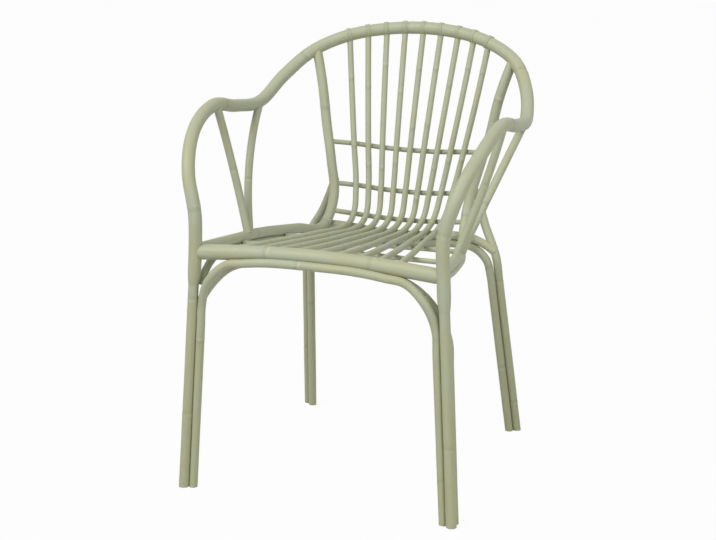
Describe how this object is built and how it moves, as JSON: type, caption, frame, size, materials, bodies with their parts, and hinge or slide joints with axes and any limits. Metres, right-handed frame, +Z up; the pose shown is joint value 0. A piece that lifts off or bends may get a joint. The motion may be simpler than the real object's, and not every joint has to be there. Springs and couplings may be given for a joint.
{
  "type": "garden armchair",
  "caption": "Low garden armchair of bent, painted cane poles: the arms and back rim are one hoop, and slim canes run down the back and forward over the seat.",
  "frame": {"origin": "on the floor, under the middle of the chair's box", "axes": "+Z up, the front of the chair faces -Y, +X to the right seen from the front"},
  "size_m": [0.5516, 0.5639, 0.7594],
  "materials": {
    "painted_pole": "satin sage-green paint over bent cane pole",
    "painted_cane": "satin sage-green paint over slim cane",
    "painted_wrap": "satin sage-green paint over cane peel wrap"
  },
  "bodies": {
    "root": {"arm_hoop": "painted_pole", "front_leg_left": "painted_pole", "front_leg_right": "painted_pole", "front_rail": "painted_pole", "front_arch": "painted_pole", "front_inner_arch": "painted_pole", "side_post_left": "painted_pole", "side_post_right": "painted_pole", "side_brace_left": "painted_pole", "side_brace_right": "painted_pole", "rear_leg_left": "painted_pole", "rear_leg_right": "painted_pole", "rear_rail": "painted_pole", "rear_arch": "painted_pole", "arm_strut_front_left": "painted_pole", "arm_strut_front_right": "painted_pole", "arm_strut_rear_left": "painted_pole", "arm_strut_rear_right": "painted_pole", "long_cane_1": "painted_cane", "long_cane_2": "painted_cane", "long_cane_3": "painted_cane", "long_cane_4": "painted_cane", "long_cane_5": "painted_cane", "long_cane_6": "painted_cane", "long_cane_7": "painted_cane", "long_cane_8": "painted_cane", "long_cane_9": "painted_cane", "back_cross_upper": "painted_cane", "back_cross_middle": "painted_cane", "back_cross_lower": "painted_cane", "seat_cross_rear": "painted_cane", "seat_cross_front": "painted_cane", "hoop_wraps": "painted_wrap"}
  },
  "joints": []
}
